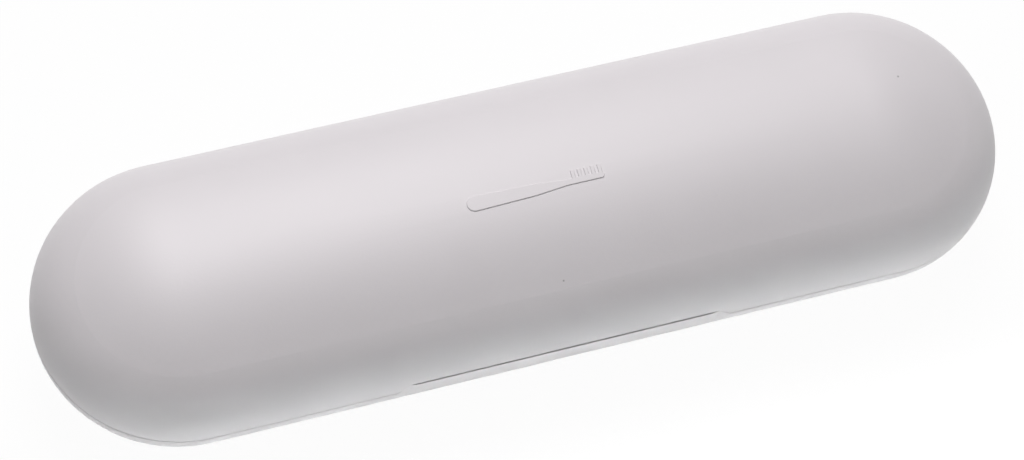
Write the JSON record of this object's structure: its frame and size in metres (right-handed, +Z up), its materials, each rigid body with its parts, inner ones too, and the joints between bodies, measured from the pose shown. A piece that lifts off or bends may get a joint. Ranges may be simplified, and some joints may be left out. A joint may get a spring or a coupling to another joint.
{
  "type": "toothbrush travel case",
  "caption": "Hard pill-shaped travel case for an electric toothbrush: two hinged half shells with a fingernail slot, a fitted inner tray and a sprung catch.",
  "frame": {"origin": "centre of the case's underside, on the surface that its feet stand on", "axes": "+X along the case, +Y towards the hinge, +Z up out of the lid"},
  "size_m": [0.24, 0.0694, 0.0419],
  "materials": {
    "shell": "fine matte spark texture",
    "tray": "satin",
    "rubber": "soft matte",
    "steel": "plain",
    "acetal": "smooth"
  },
  "bodies": {
    "base": {"base_shell": "shell", "base_tray": "tray", "catch_cover": "tray", "tray_saddle_tail": "rubber", "tray_saddle_neck": "rubber", "foot_left": "rubber", "foot_right": "rubber", "hinge_pin_left": "steel", "hinge_pin_right": "steel", "catch_spring": "steel", "cover_screw_left": "steel", "cover_screw_right": "steel"},
    "lid": {"lid_shell": "shell", "lid_liner": "tray", "lid_saddle_tail": "rubber", "lid_saddle_neck": "rubber", "lid_hook": "acetal", "hook_screw_left": "steel", "hook_screw_right": "steel"},
    "catch": {"catch": "acetal"}
  },
  "joints": [
    {"name": "lid_hinge", "type": "hinge", "parent": "base", "child": "lid", "pos_m": [0, 0.03305, 0.0211], "axis": [-1, 0, 0], "range_deg": [0, 100]},
    {"name": "catch_slide", "type": "slide", "parent": "base", "child": "catch", "axis": [0, 1, 0], "range_m": [0, 0.0012], "stiffness_N_per_m": 1200, "springref_m": -0.002, "deforming": ["catch_spring"]}
  ]
}
